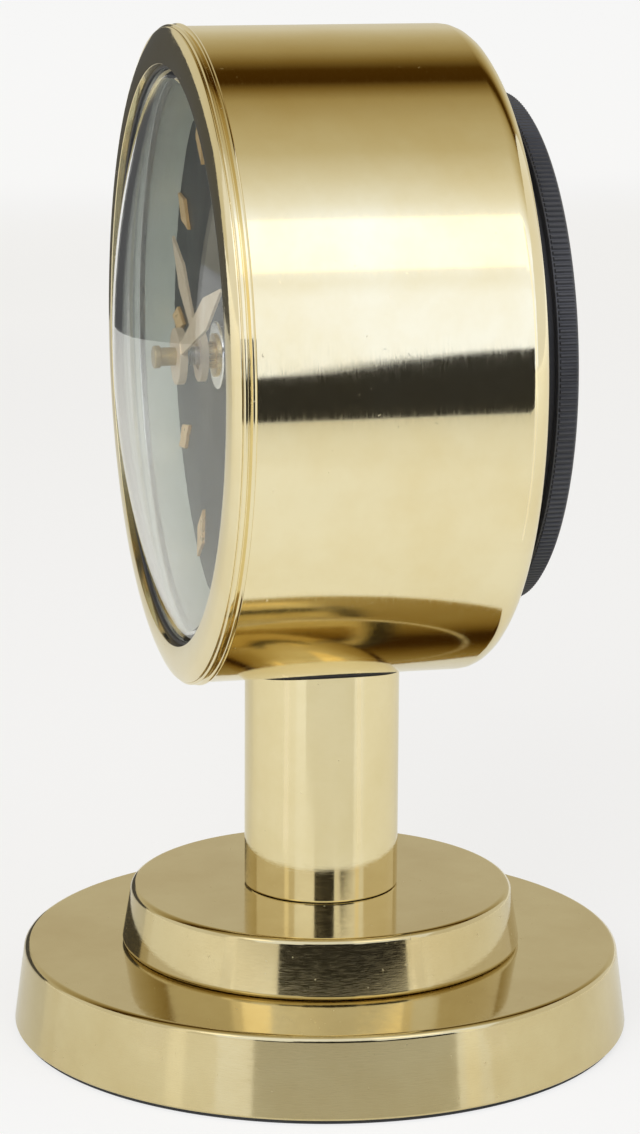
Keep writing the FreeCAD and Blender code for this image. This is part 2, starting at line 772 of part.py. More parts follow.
def balance_cock():
    """Bridge from its foot on the back plate to the balance's rear pivot, with a stud for the spring."""
    half_width = 2.4
    left, right = spring_end - 90, spring_end + 90
    arm = prism([polar(half_width, left, balance_place), polar(half_width, left, cock_place),
                 polar(half_width, right, cock_place), polar(half_width, right, balance_place)], *cock_layer)
    stud_reach = collet_radius + spring_step * spring_halves + spring_thickness + 0.4
    stud_place = polar(stud_reach, spring_end, balance_place)
    body = united([
        arm, rod(balance_place, half_width, *cock_layer), rod(cock_place, 2.8, back_plate_back, cock_layer[1]),
        rod(stud_place, 0.4, spring_layer[0], cock_layer[0])])
    body = body.cut(rod(balance_place, staff_radius + running_fit, cock_layer[0], cock_layer[0] + 1.1))
    return body.cut(rod(cock_place, screw_radius, back_plate_back, cock_layer[1]))


def drive_coil():
    """Wound coil under the balance, open at its rear end."""
    coil_back = rim_layer[0] - 2.0
    body = rod(coil_place, 3.4, back_plate_back, coil_back)
    return body.cut(rod(coil_place, 1.0, index_layer[0], coil_back))


# Battery
def battery_tray():
    outer = block((-tray_half_width - tray_wall, tray_half_width + tray_wall), (tray_front, rear_floor_face),
                  (cell_height - tray_half_height - tray_wall, cell_height + tray_half_height + tray_wall))
    return outer.cut(block((-tray_half_width, tray_half_width), (tray_floor, rear_floor_face),
                           (cell_height - tray_half_height, cell_height + tray_half_height)))


cell_centre_y = tray_floor + cell_radius
cell_axis = cell_height - tray_half_height + cell_radius


def along_x(radius, start, end):
    """Cylinder along X on the battery's axis."""
    return Part.makeCylinder(radius, end - start, Vector(start, cell_centre_y, axis_height + cell_axis),
                             Vector(1, 0, 0))


def battery_cell():
    body = along_x(cell_radius, -cell_half_length, cell_half_length)
    return body.fuse(along_x(3.2, cell_half_length, cell_half_length + 0.8)).removeSplitter()


def battery_contacts():
    sides = []
    for side, reach in ((-1, cell_half_length), (1, cell_half_length + 0.8)):
        strip = sorted((side * tray_half_width, side * (tray_half_width - 0.5)))
        leaf = block(strip, (tray_floor, rear_floor_face - 2.7), (cell_axis - 4.0, cell_axis + 4.0))
        bump = sorted((side * reach, side * (tray_half_width - 0.5)))
        sides.append(leaf.fuse(along_x(3.0, bump[0], bump[1])).removeSplitter())
    return sides


nodes = {
    "base_foot_pad": foot_pad(),
    "base_disc": base_disc(),
    "base_weight": base_weight(),
    "base_tier": base_tier(),
    "base_washer": upright_ring(rod_radius, 9.0, washer_bottom, washer_top),
    "base_nut": hexagon(11.0, base_nut_bottom, washer_bottom),
    "tie_rod": tie_rod(),
    "column": column(),
    "saddle_gasket": saddle_gasket(),
    "drum_saddle": drum_saddle(),
    "drum_saddle_nut": hexagon(10.0, saddle_top, nut_top),
    "case_drum": case_drum(),
    "bezel": bezel(),
    "glass_gasket": glass_gasket(),
    "glass": glass(),
    "glass_retaining_ring": ring(retainer_bore, bezel_bore, glass_back, retainer_back),
    "reflector_ring": reflector_ring(),
    "dial": dial(),
    "hour_markers": Part.makeCompound(hour_markers()),
    "date_window_frame": date_window_frame(),
    "dial_centre_nut": ring(bush_radius, bush_radius + 2.3, dial_front - 1.8, dial_front),
    "hour_hand": pointer(hour_angle, hour_hand_length, 3.1, hour_hub, hour_hub_radius, pipe_radius),
    "minute_hand": pointer(minute_angle, minute_hand_length, 2.9, minute_hub, minute_hub_radius, cannon_radius),
    "hand_nut": hand_nut(),
    "calendar_plate": calendar_plate(),
    "date_ring": date_ring(),
    "date_jumper": date_jumper(),
    "date_drive_wheel": date_drive_wheel(),
    "date_finger": date_finger(),
    "date_set_arbor": date_set_arbor(),
    "date_set_knob": setting_knob(date_set_place, 6.0),
    "front_plate": front_plate(),
    "centre_bush": centre_bush(),
    "back_plate": back_plate(),
    "plate_pillars": Part.makeCompound(plate_pillars()),
    "plate_screws": Part.makeCompound([screw(place, 1.9, back_plate_back, back_plate_back + 1.1, screw_radius,
                                             back_plate_face - 3.0)
                                       for place in pillar_places]),
    "centre_arbor": centre_arbor(),
    "cannon_pinion": cannon_pinion(),
    "minute_wheel": minute_wheel(),
    "minute_stud": minute_stud(),
    "hour_wheel": hour_wheel(),
    "hand_set_arbor": hand_set_arbor(),
    "hand_set_knob": setting_knob(hand_set_place, 6.5),
    "third_wheel": third_wheel(),
    "index_wheel": index_wheel(),
    "balance_wheel": balance_wheel(),
    "balance_magnets": Part.makeCompound(balance_magnets()),
    "hairspring": hairspring(),
    "balance_cock": balance_cock(),
    "cock_screw": screw(cock_place, 2.2, cock_layer[1], cock_layer[1] + 1.2, screw_radius, back_plate_face),
    "drive_coil": drive_coil(),
    "rear_plate": rear_plate(),
    "case_pillars": Part.makeCompound([pillar_body(place) for place in case_pillar_places]),
    "case_screws": Part.makeCompound([screw(place, 3.0, rear_floor_back, rear_floor_back + 1.8, case_screw_radius,
                                            rear_floor_face - 5.2)
                                      for place in case_pillar_places]),
    "battery_tray": battery_tray(),
    "battery_cell": battery_cell(),
    "battery_contacts": Part.makeCompound(battery_contacts()),
    "cap_spring_ring": ring(neck_radius + running_fit, spring_ring_radius, cap_front + 0.7, cap_front + 1.7),
    "rear_cap": rear_cap(),
}

os.makedirs("parts", exist_ok=True)
for name, shape in nodes.items():
    shape.exportStep("parts/" + name + ".step")
    print(name, len(shape.Solids), round(shape.Volume, 2), shape.isValid())
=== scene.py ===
import bmesh
import bpy
import json
import math
from mathutils import Matrix, Vector

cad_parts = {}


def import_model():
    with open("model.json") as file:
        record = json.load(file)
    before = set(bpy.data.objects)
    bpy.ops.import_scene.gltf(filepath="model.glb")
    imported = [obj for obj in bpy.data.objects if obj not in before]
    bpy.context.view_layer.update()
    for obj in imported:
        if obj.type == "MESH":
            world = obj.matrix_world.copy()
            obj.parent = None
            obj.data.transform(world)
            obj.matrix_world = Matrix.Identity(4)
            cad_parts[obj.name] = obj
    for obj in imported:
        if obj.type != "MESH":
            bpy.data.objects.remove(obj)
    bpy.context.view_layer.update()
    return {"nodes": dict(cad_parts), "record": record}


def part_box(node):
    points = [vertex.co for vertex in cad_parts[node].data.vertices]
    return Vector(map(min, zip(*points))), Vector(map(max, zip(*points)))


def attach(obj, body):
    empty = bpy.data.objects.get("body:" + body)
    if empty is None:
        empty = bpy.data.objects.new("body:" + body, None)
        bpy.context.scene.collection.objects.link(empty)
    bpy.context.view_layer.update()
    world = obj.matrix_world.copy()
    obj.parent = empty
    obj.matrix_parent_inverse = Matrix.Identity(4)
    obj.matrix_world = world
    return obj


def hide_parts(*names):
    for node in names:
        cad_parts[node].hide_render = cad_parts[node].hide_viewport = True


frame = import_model()
MM = 0.001


def mm(value):
    """Metres as millimetres."""
    return value / MM


# Main places and radii, read from the frame in metres
drum_low, drum_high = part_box("case_drum")
AXIS_Z = (drum_low[2] + drum_high[2]) / 2
DRUM_RADIUS = (drum_high[2] - drum_low[2]) / 2
DRUM_FRONT = drum_low[1]
DRUM_REAR = drum_high[1]
BEZEL_RADIUS = (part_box("bezel")[1][2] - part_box("bezel")[0][2]) / 2
BEZEL_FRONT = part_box("bezel")[0][1]
GLASS_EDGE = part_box("glass")[1][0]
GLASS_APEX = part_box("glass")[0][1]
GLASS_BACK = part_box("glass")[1][1]
SEAL_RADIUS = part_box("glass_gasket")[1][0]
SEAL_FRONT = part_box("glass_gasket")[0][1]
REFLECTOR_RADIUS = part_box("reflector_ring")[1][0]
DIAL_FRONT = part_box("dial")[0][1]
CAP_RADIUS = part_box("rear_cap")[1][0]
CAP_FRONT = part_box("rear_cap")[0][1]
CAP_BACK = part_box("rear_cap")[1][1]
PAD_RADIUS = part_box("base_foot_pad")[1][0]
PAD_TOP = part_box("base_foot_pad")[1][2]
DISC_FOOT_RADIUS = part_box("base_disc")[1][0]
DISC_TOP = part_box("base_disc")[1][2]
WEIGHT_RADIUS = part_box("base_weight")[1][0]
WEIGHT_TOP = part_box("base_weight")[1][2]
TIER_FOOT_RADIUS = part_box("base_tier")[1][0]
TIER_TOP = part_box("base_tier")[1][2]
COLUMN_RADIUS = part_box("column")[1][0]


# Material helpers
def new_material(name):
    material = bpy.data.materials.new(name)
    material.use_nodes = True
    shader = material.node_tree.nodes["Principled BSDF"]
    return material, shader


def node(owner, kind, **settings):
    """A shader node of a material or the world, with its settings and the values of its sockets."""
    made = owner.node_tree.nodes.new(kind)
    for key, value in settings.items():
        if key in made.inputs:
            made.inputs[key].default_value = value
        else:
            setattr(made, key, value)
    return made


def link(owner, source, target):
    owner.node_tree.links.new(source, target)


def object_space(material, scale=(1.0, 1.0, 1.0)):
    """Object coordinates, stretched."""
    place = node(material, "ShaderNodeTexCoord")
    mapping = node(material, "ShaderNodeMapping")
    mapping.inputs["Scale"].default_value = scale
    link(material, place.outputs["Object"], mapping.inputs["Vector"])
    return mapping.outputs["Vector"]


def noise(material, vector, scale, detail=4.0, roughness=0.5):
    made = node(material, "ShaderNodeTexNoise")
    made.inputs["Scale"].default_value = scale
    made.inputs["Detail"].default_value = detail
    made.inputs["Roughness"].default_value = roughness
    link(material, vector, made.inputs["Vector"])
    return made.outputs["Fac"]


def ramp(material, value, stops):
    """Colour ramp from (position, colour) stops."""
    made = node(material, "ShaderNodeValToRGB")
    elements = made.color_ramp.elements
    while len(elements) < len(stops):
        elements.new(0.5)
    for element, (position, colour) in zip(elements, stops):
        element.position = position
        element.color = (*colour, 1.0)
    link(material, value, made.inputs["Fac"])
    return made.outputs["Color"]


def span(material, value, source, target):
    """Value carried from a source range to a target range."""
    made = node(material, "ShaderNodeMapRange")
    made.inputs["From Min"].default_value, made.inputs["From Max"].default_value = source
    made.inputs["To Min"].default_value, made.inputs["To Max"].default_value = target
    link(material, value, made.inputs["Value"])
    return made.outputs["Result"]


def bump(material, shader, height, strength, distance):
    made = node(material, "ShaderNodeBump")
    made.inputs["Strength"].default_value = strength
    made.inputs["Distance"].default_value = distance
    link(material, height, made.inputs["Height"])
    link(material, made.outputs["Normal"], shader.inputs["Normal"])


def polished_metal(name, colour, dark, roughness, stretch=(40.0, 400.0, 40.0)):
    """Polished metal with cloudy lacquer, fine rubbing marks and small rough specks."""
    material, shader = new_material(name)
    shader.inputs["Metallic"].default_value = 1.0
    plain = object_space(material)
    rubbed = object_space(material, stretch)
    clouds = noise(material, plain, scale=38.0, detail=5.0, roughness=0.6)
    colours = ramp(material, clouds, [(0.3, dark), (0.62, colour)])
    link(material, colours, shader.inputs["Base Color"])
    marks = noise(material, rubbed, scale=12.0, detail=3.0, roughness=0.7)
    specks = noise(material, plain, scale=900.0, detail=2.0, roughness=0.5)
    mark_rough = span(material, marks, (0.35, 0.75), (roughness * 0.6, roughness * 1.8))
    speck_rough = span(material, specks, (0.68, 0.78), (0.0, roughness * 4.0))
    rougher = node(material, "ShaderNodeMath", operation="MAXIMUM")
    link(material, mark_rough, rougher.inputs[0])
    link(material, speck_rough, rougher.inputs[1])
    link(material, rougher.outputs[0], shader.inputs["Roughness"])
    bump(material, shader, marks, strength=0.02, distance=0.2 * MM)
    return material


def brushed_metal(name, colour, dark, roughness, stretch):
    """Metal with lines from turning or brushing."""
    material, shader = new_material(name)
    shader.inputs["Metallic"].default_value = 1.0
    lines = noise(material, object_space(material, stretch), scale=30.0, detail=6.0, roughness=0.7)
    clouds = noise(material, object_space(material), scale=60.0)
    link(material, ramp(material, clouds, [(0.3, dark), (0.7, colour)]), shader.inputs["Base Color"])
    line_rough = span(material, lines, (0.3, 0.7), (roughness * 0.7, roughness * 1.4))
    link(material, line_rough, shader.inputs["Roughness"])
    bump(material, shader, lines, strength=0.15, distance=0.2 * MM)
    return material


def moulded(name, colour, pale, roughness, grain=1800.0, strength=0.2):
    """Plastic, rubber, felt or lacquer with a fine grain and faint handling marks."""
    material, shader = new_material(name)
    plain = object_space(material)
    clouds = noise(material, plain, scale=70.0, detail=5.0, roughness=0.6)
    grains = noise(material, plain, scale=grain, detail=2.0, roughness=0.5)
    link(material, ramp(material, clouds, [(0.35, colour), (0.75, pale)]), shader.inputs["Base Color"])
    cloud_rough = span(material, clouds, (0.3, 0.7), (roughness * 0.85, min(1.0, roughness * 1.15)))
    link(material, cloud_rough, shader.inputs["Roughness"])
    bump(material, shader, grains, strength, distance=0.1 * MM)
    return material


def gilt(name, colour, dark, roughness):
    """Satin gilding: half metal and half pale coat, with cloudy patches."""
    material, shader = new_material(name)
    shader.inputs["Metallic"].default_value = 0.45
    clouds = noise(material, object_space(material), scale=220.0, detail=4.0, roughness=0.6)
    link(material, ramp(material, clouds, [(0.3, dark), (0.7, colour)]), shader.inputs["Base Color"])
    cloud_rough = span(material, clouds, (0.3, 0.7), (roughness * 1.2, roughness * 0.8))
    link(material, cloud_rough, shader.inputs["Roughness"])
    return material


def clear_glass():
    """Clear glass with faint wipe marks, through which lamp light and scattered light pass straight."""
    material, shader = new_material("clock_glass")
    shader.inputs["Transmission Weight"].default_value = 1.0
    shader.inputs["IOR"].default_value = 1.45
    smears = noise(material, object_space(material), scale=60.0, detail=5.0, roughness=0.6)
    link(material, ramp(material, smears, [(0.3, (0.95, 0.97, 0.96)), (0.7, (0.98, 0.99, 0.98))]),
         shader.inputs["Base Color"])
    link(material, span(material, smears, (0.45, 0.8), (0.0, 0.05)), shader.inputs["Roughness"])
    ray = node(material, "ShaderNodeLightPath")
    passing = node(material, "ShaderNodeMath", operation="MAXIMUM")
    link(material, ray.outputs["Is Shadow Ray"], passing.inputs[0])
    link(material, ray.outputs["Is Diffuse Ray"], passing.inputs[1])
    straight = node(material, "ShaderNodeBsdfTransparent", Color=(0.92, 0.94, 0.92, 1.0))
    mix = node(material, "ShaderNodeMixShader")
    link(material, passing.outputs[0], mix.inputs["Fac"])
    link(material, shader.outputs[0], mix.inputs[1])
    link(material, straight.outputs[0], mix.inputs[2])
    link(material, mix.outputs[0], material.node_tree.nodes["Material Output"].inputs["Surface"])
    return material


# Materials, with the marks on metal finest across the clock, along the drum's axis or upward
fine_across = (300.0, 10.0, 10.0)
fine_along = (10.0, 300.0, 10.0)
fine_upward = (40.0, 40.0, 300.0)

brass = polished_metal("case_brass", (0.88, 0.78, 0.51), (0.83, 0.70, 0.40), 0.07)
# Column brass is the case brass a little darker: painted shade, so that the column comes out darker than the
# case
column_brass_painted_shade = polished_metal("column_brass_painted_shade", (0.83, 0.72, 0.44), (0.76, 0.64, 0.35), 0.08, fine_upward)
# Base brass is the case brass made darker: painted shade, so that the base disc and tier come out darker
# than the case
base_brass_painted_shade = polished_metal("base_brass_painted_shade", (0.64, 0.54, 0.30), (0.57, 0.46, 0.23), 0.09, fine_upward)
movement_brass = brushed_metal("movement_brass", (0.80, 0.64, 0.36), (0.66, 0.50, 0.26), 0.28, fine_across)
knob_brass = brushed_metal("knob_brass", (0.74, 0.58, 0.32), (0.60, 0.45, 0.22), 0.3, fine_along)
steel = brushed_metal("steel", (0.66, 0.66, 0.67), (0.50, 0.50, 0.51), 0.26, fine_along)
nickel = polished_metal("nickel", (0.86, 0.84, 0.80), (0.74, 0.72, 0.68), 0.12)
ring_metal = brushed_metal("ring_metal", (0.88, 0.88, 0.86), (0.78, 0.78, 0.76), 0.3, fine_along)
reflector = moulded("reflector", (0.58, 0.60, 0.52), (0.66, 0.68, 0.61), 0.4, grain=900.0, strength=0.05)
felt = moulded("felt", (0.02, 0.02, 0.02), (0.05, 0.05, 0.05), 0.95, grain=2500.0, strength=0.8)
rubber = moulded("black_rubber", (0.025, 0.025, 0.028), (0.05, 0.05, 0.055), 0.55)
plastic = moulded("black_plastic", (0.040, 0.040, 0.043), (0.065, 0.065, 0.070), 0.5)
dial_black = moulded("dial_black", (0.012, 0.012, 0.012), (0.022, 0.022, 0.021), 0.45, grain=600.0,
                     strength=0.02)
marker_gold = gilt("marker_gold", (0.90, 0.60, 0.28), (0.80, 0.50, 0.21), 0.3)
hand_gold = gilt("hand_gold", (0.86, 0.72, 0.55), (0.76, 0.61, 0.44), 0.4)
nut_gold = gilt("nut_gold", (0.46, 0.34, 0.15), (0.34, 0.25, 0.10), 0.35)
date_white = moulded("date_white", (0.82, 0.81, 0.76), (0.88, 0.87, 0.83), 0.4)
ink = moulded("date_ink", (0.02, 0.02, 0.02), (0.05, 0.05, 0.05), 0.5)
copper = brushed_metal("copper", (0.62, 0.30, 0.14), (0.45, 0.20, 0.08), 0.35, (10.0, 900.0, 10.0))
sleeve = moulded("cell_sleeve", (0.10, 0.12, 0.16), (0.16, 0.18, 0.22), 0.35)
glass_clear = clear_glass()
ground_edge = moulded("ground_edge", (0.62, 0.63, 0.56), (0.70, 0.71, 0.65), 0.6, grain=1500.0, strength=0.1)

by_slot = {
    "case_brass": brass, "movement_brass": movement_brass, "knob_brass": knob_brass, "steel": steel,
    "nickel": nickel, "ring_metal": ring_metal, "reflector": reflector, "felt": felt,
    "black_rubber": rubber, "black_plastic": plastic, "glass": glass_clear, "dial_black": dial_black,
    "marker_gold": marker_gold, "hand_gold": hand_gold, "date_white": date_white, "copper": copper,
    "cell_sleeve": sleeve}
for part in frame["record"]["subparts"]:
    cad = frame["nodes"][part["node"]]
    cad.data.materials.clear()
    cad.data.materials.append(by_slot[part["material_slot"]])


# Turned bodies
def eased(points, steps=6):
    """Closed outline with its corners rounded: a third number on a point is the radius of the round."""
    made = []
    for index, point in enumerate(points):
        if len(point) == 2:
            made.append(point)
            continue
        corner = Vector(point[:2])
        before = (Vector(points[index - 1][:2]) - corner).normalized()
        after = (Vector(points[(index + 1) % len(points)][:2]) - corner).normalized()
        half = before.angle(after) / 2
        centre = corner + (before + after).normalized() * (point[2] / math.sin(half))
        start = corner + before * (point[2] / math.tan(half)) - centre
        end = corner + after * (point[2] / math.tan(half)) - centre
        turn = start.angle_signed(end)
        for step in range(steps + 1):
            angle = -turn * step / steps
            made.append((centre.x + start.x * math.cos(angle) - start.y * math.sin(angle),
                         centre.y + start.x * math.sin(angle) + start.y * math.cos(angle)))
    return made


def ring_faces(segments, count):
    """Faces of a closed ring of closed outlines, with count points in each."""
    faces = []
    for turn in range(segments):
        here = turn * count
        ahead = (turn + 1) % segments * count
        for point in range(count):
            following = (point + 1) % count
            faces.append((here + point, here + following, ahead + following, ahead + point))
    return faces


def built(name, vertices, faces, material):
    """Mesh object with smooth faces, and sharp edges where faces turn by more than 35 degrees."""
    sharp = math.radians(35)
    mesh = bpy.data.meshes.new(name)
    mesh.from_pydata(vertices, [], faces)
    mesh.materials.append(material)
    made = bpy.data.objects.new(name, mesh)
    bpy.context.scene.collection.objects.link(made)
    sheet = bmesh.new()
    sheet.from_mesh(mesh)
    bmesh.ops.remove_doubles(sheet, verts=sheet.verts, dist=1e-7)
    bmesh.ops.recalc_face_normals(sheet, faces=sheet.faces)
    for face in sheet.faces:
        face.smooth = True
    for edge in sheet.edges:
        if len(edge.link_faces) == 2 and edge.calc_face_angle(0.0) > sharp:
            edge.smooth = False
    sheet.to_mesh(mesh)
    sheet.free()
    even = made.modifiers.new("even_normals", "WEIGHTED_NORMAL")
    even.weight = 100
    even.keep_sharp = True
    return made


def lathe(name, outline, material, along="Y", segments=256):
    """Body turned about the drum's axis (Y) or the column's axis (Z).

    The outline's points are (radius, distance, optional round) in millimetres.
    """
    outline = [(radius * MM, distance * MM) for radius, distance in eased(outline)]
    vertices = []
    for turn in range(segments):
        angle = 2 * math.pi * turn / segments
        across, up = math.cos(angle), math.sin(angle)
        for radius, distance in outline:
            if along == "Y":
                vertices.append((radius * across, distance, AXIS_Z + radius * up))
            else:
                vertices.append((radius * across, radius * up, distance))
    return built(name, vertices, ring_faces(segments, len(outline)), material)


def stands_for(piece, cad, body="case"):
    """Makes a piece ride a body in place of one CAD node."""
    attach(piece, body)
    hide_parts(cad)


# Base and column
def base():
    """Felt pad, lower disc hollow for its weight, and upper tier, with room for the tie rod."""
    rod_hole = 3.3
    edge_round = 1.3
    foot, top, pad = mm(DISC_FOOT_RADIUS), mm(DISC_TOP), mm(PAD_TOP)
    draft = 2.0
    weight_edge, weight_top = mm(WEIGHT_RADIUS), mm(WEIGHT_TOP)
    # Disc and tier take the darker base brass, which paints shade on them
    stands_for(lathe("base_lower_disc", [
        (rod_hole, weight_top), (weight_edge, weight_top), (weight_edge, pad), (foot, pad, 0.4),
        (foot - draft, top, edge_round), (rod_hole, top)], base_brass_painted_shade, "Z"), "base_disc")
    tier_foot, tier_top = mm(TIER_FOOT_RADIUS), mm(TIER_TOP)
    tier_draft = 1.9
    stands_for(lathe("base_upper_tier", [
        (rod_hole, top), (tier_foot, top, 1.0), (tier_foot - tier_draft, tier_top, edge_round),
        (rod_hole, tier_top)], base_brass_painted_shade, "Z"), "base_tier")
    pad_edge = mm(PAD_RADIUS)
    stands_for(lathe("base_felt", [
        (0.0, 0.0), (pad_edge, 0.0, 0.3), (pad_edge, pad, 0.2), (0.0, pad)], felt, "Z"), "base_foot_pad")


def column():
    """Tube with an eased foot, whose top follows the round of the drum."""
    segments = 256
    ease = 0.5 * MM
    bore = 7.0 * MM
    gasket = 0.6 * MM
    rest = DRUM_RADIUS + gasket
    outline = [(bore, None), (bore, TIER_TOP), (COLUMN_RADIUS - ease, TIER_TOP),
               (COLUMN_RADIUS - ease * 0.3, TIER_TOP + ease * 0.3),
               (COLUMN_RADIUS, TIER_TOP + ease), (COLUMN_RADIUS, None)]
    vertices = []
    for turn in range(segments):
        angle = 2 * math.pi * turn / segments
        for radius, height in outline:
            across = radius * math.cos(angle)
            if height is None:
                height = AXIS_Z - math.sqrt(rest ** 2 - across ** 2)
            vertices.append((across, radius * math.sin(angle), height))
    # The column takes the darker column brass, which paints shade on it
    stands_for(built("stand_column", vertices, ring_faces(segments, len(outline)), column_brass_painted_shade), "column")


# Case
def drum():
    """Tube with a rounded rear edge turned in to a lip."""
    wall = 1.6
    rear_round = 4.5
    radius, front, rear = mm(DRUM_RADIUS), mm(DRUM_FRONT), mm(DRUM_REAR)
    lip = mm(BEZEL_RADIUS) - 10.53
    inner = radius - wall
    stands_for(lathe("drum_shell", [
        (inner, front), (radius, front, 0.2), (radius, rear, rear_round), (lip, rear, 0.2),
        (lip, rear - wall), (inner, rear - wall, rear_round - wall)], brass, segments=360), "case_drum")


def bezel():
    """Ring with a convex front, two beads behind it and a skirt that reaches into the drum."""
    front, seam, rim, bore = mm(BEZEL_FRONT), mm(DRUM_FRONT), mm(BEZEL_RADIUS), mm(SEAL_RADIUS)
    mouth = rim - 7.33
    shoulder = rim - 0.33
    first_groove, first_bead = rim - 0.73, rim - 0.18
    second_groove, second_bead = rim - 0.83, rim - 0.08
    skirt = rim - 2.13
    seat, back = front + 2.04, front + 9.9
    crest = mouth + 1.4
    roll_radius = 10.95
    steps = 14
    roll = []
    for step in range(1, steps):
        place = mouth + (shoulder - mouth) * step / steps
        roll.append((place, front + roll_radius - math.sqrt(roll_radius ** 2 - (place - crest) ** 2)))
    inner = [(bore, seat), (mouth, seat), (mouth, front + 0.1, 0.12)]
    outer = [(shoulder, front + 1.5, 0.25), (first_groove, front + 1.7, 0.08),
             (first_bead, front + 1.95, 0.15), (first_bead, front + 2.45, 0.15),
             (second_groove, front + 2.75, 0.12), (second_bead, front + 3.25, 0.12),
             (rim, front + 3.55, 0.2), (rim - 0.23, seam, 0.15)]
    behind = [(skirt, seam), (skirt, back), (bore, back)]
    stands_for(lathe("bezel_ring", inner + roll + outer + behind, brass, segments=360), "bezel")


# Glass and the rings round it
def dome_arc(edge, apex, ball, steps=24):
    """Half outline of a dome from its apex to its edge, on a ball of the given radius."""
    radii = [edge * step / steps for step in range(steps + 1)]
    return [(radius, apex + ball - math.sqrt(ball ** 2 - radius ** 2)) for radius in radii]


def glass():
    """Domed glass with a flat rim, whose outer edge is ground pale."""
    apex, back, edge = mm(GLASS_APEX), mm(GLASS_BACK), mm(GLASS_EDGE)
    thickness = 1.8
    rim = edge - 0.05
    dome_edge = edge - 0.2
    bore = edge - 2.3
    seat = back - 2.2
    ball = (dome_edge ** 2 + (seat - apex) ** 2) / (2 * (seat - apex))
    outer = dome_arc(dome_edge, apex, ball)
    inner = dome_arc(bore, apex + thickness, ball - thickness)
    outline = outer + [(rim, seat), (rim, back), (bore, back)] + inner[::-1]
    dome = lathe("domed_glass", outline, glass_clear)
    dome.data.materials.append(ground_edge)
    for face in dome.data.polygons:
        across = Vector((face.center.x, face.center.z - AXIS_Z)).length
        if across > (rim - 0.05) * MM:
            face.material_index = 1
    stands_for(dome, "glass")


def glass_rings():
    """Black seal round the glass, metal ring behind both, and grey reflector between it and the dial."""
    back, dial = mm(GLASS_BACK), mm(DIAL_FRONT)
    seal, radius = mm(SEAL_FRONT), mm(SEAL_RADIUS)
    seal_thickness = 0.7
    stands_for(lathe("glass_seal", [
        (radius - 2.5, seal, 0.2), (radius - 1.8, seal, 0.1), (radius - 1.8, seal + seal_thickness),
        (radius, seal + seal_thickness), (radius, back), (radius - 2.4, back),
        (radius - 2.4, seal + 0.6), (radius - 2.5, seal + 0.6)], rubber), "glass_gasket")
    ring_back = back + 1.3
    ring_bore = radius - 4.7
    air = 0.03
    stands_for(lathe("glass_ring", [
        (ring_bore, back + air, 0.2), (radius, back + air), (radius, ring_back),
        (ring_bore, ring_back, 0.1)], ring_metal), "glass_retaining_ring")
    flange = mm(REFLECTOR_RADIUS)
    band_inner, band_outer = flange - 3.6, flange - 2.6
    stands_for(lathe("reflector_band", [
        (band_inner, ring_back), (flange, ring_back), (flange, ring_back + 0.6),
        (band_outer, ring_back + 0.6), (band_outer, dial), (band_inner, dial)], reflector), "reflector_ring")


# Dial centre
def dial_centre():
    """Round nut that holds the dial, and the capped nut that holds the hands."""
    face = mm(DIAL_FRONT)
    bush, nut_radius, nut_height = 4.0, 6.3, 1.8
    stands_for(lathe("centre_fixing_nut", [
        (bush, face), (bush, face - nut_height), (nut_radius, face - nut_height, 0.4), (nut_radius, face)],
        nickel, segments=96), "dial_centre_nut")
    cap_front, cap_radius = mm(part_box("hand_nut")[0][1]), mm(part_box("hand_nut")[1][0])
    hub = mm(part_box("minute_hand")[0][1])
    arbor, pipe = 1.2, 1.7
    stands_for(lathe("hand_cap_nut", [
        (0.0, cap_front), (cap_radius, cap_front, 0.3), (cap_radius, cap_front + 1.2, 0.2),
        (pipe, cap_front + 1.2), (pipe, hub), (arbor, hub), (arbor, cap_front + 1.0),
        (0.0, cap_front + 1.0)], nut_gold, segments=96), "hand_nut", "minute_hand_group")


# Rear cap
def rear_cap():
    """Cap with a straight-ribbed edge, a raised rim and a shallow dish behind."""
    front, back, crest = mm(CAP_FRONT), mm(CAP_BACK), mm(CAP_RADIUS)
    ribs = 276
    valley = crest - 0.4
    bore = crest - 2.38
    rim = crest - 4.38
    dish = 0.35
    rib_end = 0.45
    plain = [(bore, front), (valley, front, 0.2), (valley, front + 0.3)]
    ribbed = [(crest, front + rib_end), (crest, back - rib_end)]
    inner = [(valley, back - 0.3), (valley - 0.3, back), (rim, back), (rim - 0.5, back - dish),
             (0.0, back - dish), (0.0, front + 2.5), (bore, front + 2.5)]
    outline = eased(plain) + ribbed + inner
    crests = [index for index, point in enumerate(outline) if point[0] == crest]
    rib_heights = (crest - valley, crest - valley, 0.0, 0.0)
    segments = ribs * len(rib_heights)
    vertices = []
    for turn in range(segments):
        angle = 2 * math.pi * (turn + 0.5) / segments
        for index, (radius, distance) in enumerate(outline):
            if index in crests:
                radius = valley + rib_heights[turn % len(rib_heights)]
            reach = radius * MM
            vertices.append((reach * math.cos(angle), distance * MM, AXIS_Z + reach * math.sin(angle)))
    stands_for(built("ribbed_rear_cap", vertices, ring_faces(segments, len(outline)), plastic),
               "rear_cap", "cap")


# Date numbers on the ring
def date_number(number, turn, reach, face):
    """Text of one number, turned to its place on the date ring."""
    text = bpy.data.curves.new("date_number", "FONT")
    text.body = str(number)
    text.size = 5.2 * MM
    text.align_x = "CENTER"
    text.align_y = "CENTER"
    text.extrude = 0.03 * MM
    made = bpy.data.objects.new("date_number", text)
    bpy.context.scene.collection.objects.link(made)
    made.matrix_world = (Matrix.Translation((0.0, face, AXIS_Z)) @ Matrix.Rotation(turn, 4, "Y")
                         @ Matrix.Translation((reach, 0.0, 0.0)) @ Matrix.Rotation(math.pi / 2, 4, "X"))
    return made


